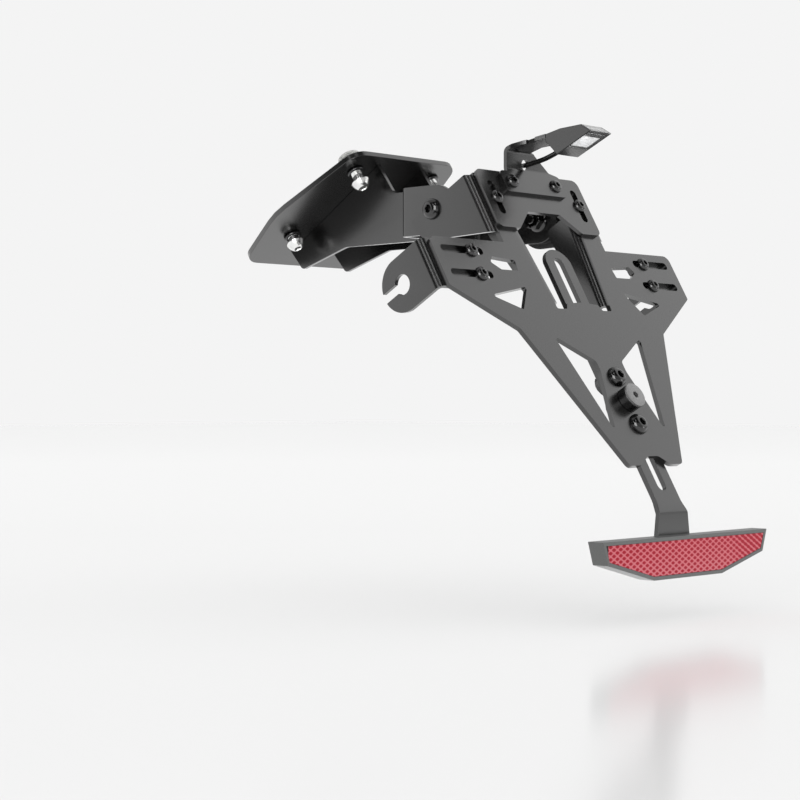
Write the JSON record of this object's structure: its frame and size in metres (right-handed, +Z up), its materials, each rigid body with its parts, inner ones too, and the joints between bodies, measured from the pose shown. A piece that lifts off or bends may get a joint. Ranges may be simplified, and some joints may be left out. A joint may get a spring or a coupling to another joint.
{
  "type": "motorbike tail tidy",
  "caption": "Number-plate carrier hinged under a tail plate, with sliding indicator brackets, a plate light and a slotted arm that holds the rear reflector.",
  "frame": {"origin": "middle of the four tail bolts, on the top face of the tail plate", "axes": "+X to the right seen from behind the bike, +Y forward, +Z up"},
  "size_m": [0.2, 0.2758, 0.225],
  "materials": {
    "black_sheet": "satin black powder coat",
    "black_fastener": "gloss black",
    "bright_fastener": "bright zinc plate",
    "gray_screw": "matte grey",
    "rubber": "matte black",
    "nylon": "natural white nylon",
    "lamp_black": "satin black moulding",
    "lamp_clear": "clear window",
    "lead_black": "black cable sheath",
    "reflector_black": "matte dark grey moulding",
    "reflector_red": "gloss red lens"
  },
  "bodies": {
    "adapter": {"tail_plate": "black_sheet", "side_arm_left": "black_sheet", "side_arm_right": "black_sheet", "tail_bolts": "bright_fastener", "tail_o_rings": "rubber", "tail_washers": "nylon", "tail_nuts": "bright_fastener"},
    "carrier": {"carrier": "black_sheet", "pivot_bolts": "black_fastener", "pivot_nuts": "black_fastener", "clamp_bolts": "black_fastener", "clamp_nuts": "black_fastener", "buffer": "rubber", "buffer_screw": "gray_screw", "light_plate_bolts": "black_fastener", "light_plate_nuts": "black_fastener"},
    "light": {"light_plate": "black_sheet", "light_bracket": "black_sheet", "light_bracket_screws": "black_fastener", "lamp_housing": "lamp_black", "lamp_window": "lamp_clear", "lamp_lead": "lead_black"},
    "indicator_left": {"indicator_bracket_left": "black_sheet", "indicator_bolts_left": "black_fastener", "indicator_nuts_left": "black_fastener"},
    "indicator_right": {"indicator_bracket_right": "black_sheet", "indicator_bolts_right": "black_fastener", "indicator_nuts_right": "black_fastener"},
    "reflector": {"reflector_arm": "black_sheet", "reflector_housing": "reflector_black", "reflector_lens": "reflector_red", "reflector_nuts": "black_fastener"}
  },
  "joints": [
    {"name": "carrier_tilt", "type": "hinge", "parent": "adapter", "child": "carrier", "pos_m": [0, -0.0984, -0.0132], "axis": [1, 0, 0], "range_deg": [-20, 30]},
    {"name": "light_slide", "type": "slide", "parent": "carrier", "child": "light", "axis": [0, 0.5, 0.866], "range_m": [-0.007, 0.007]},
    {"name": "indicator_slide_left", "type": "slide", "parent": "carrier", "child": "indicator_left", "axis": [-1, 0, 0], "range_m": [-0.006, 0.019]},
    {"name": "indicator_slide_right", "type": "slide", "parent": "carrier", "child": "indicator_right", "axis": [1, 0, 0], "range_m": [-0.006, 0.019]},
    {"name": "reflector_slide", "type": "slide", "parent": "carrier", "child": "reflector", "axis": [0, 0.5, 0.866], "range_m": [-0.06, 0.03]}
  ]
}
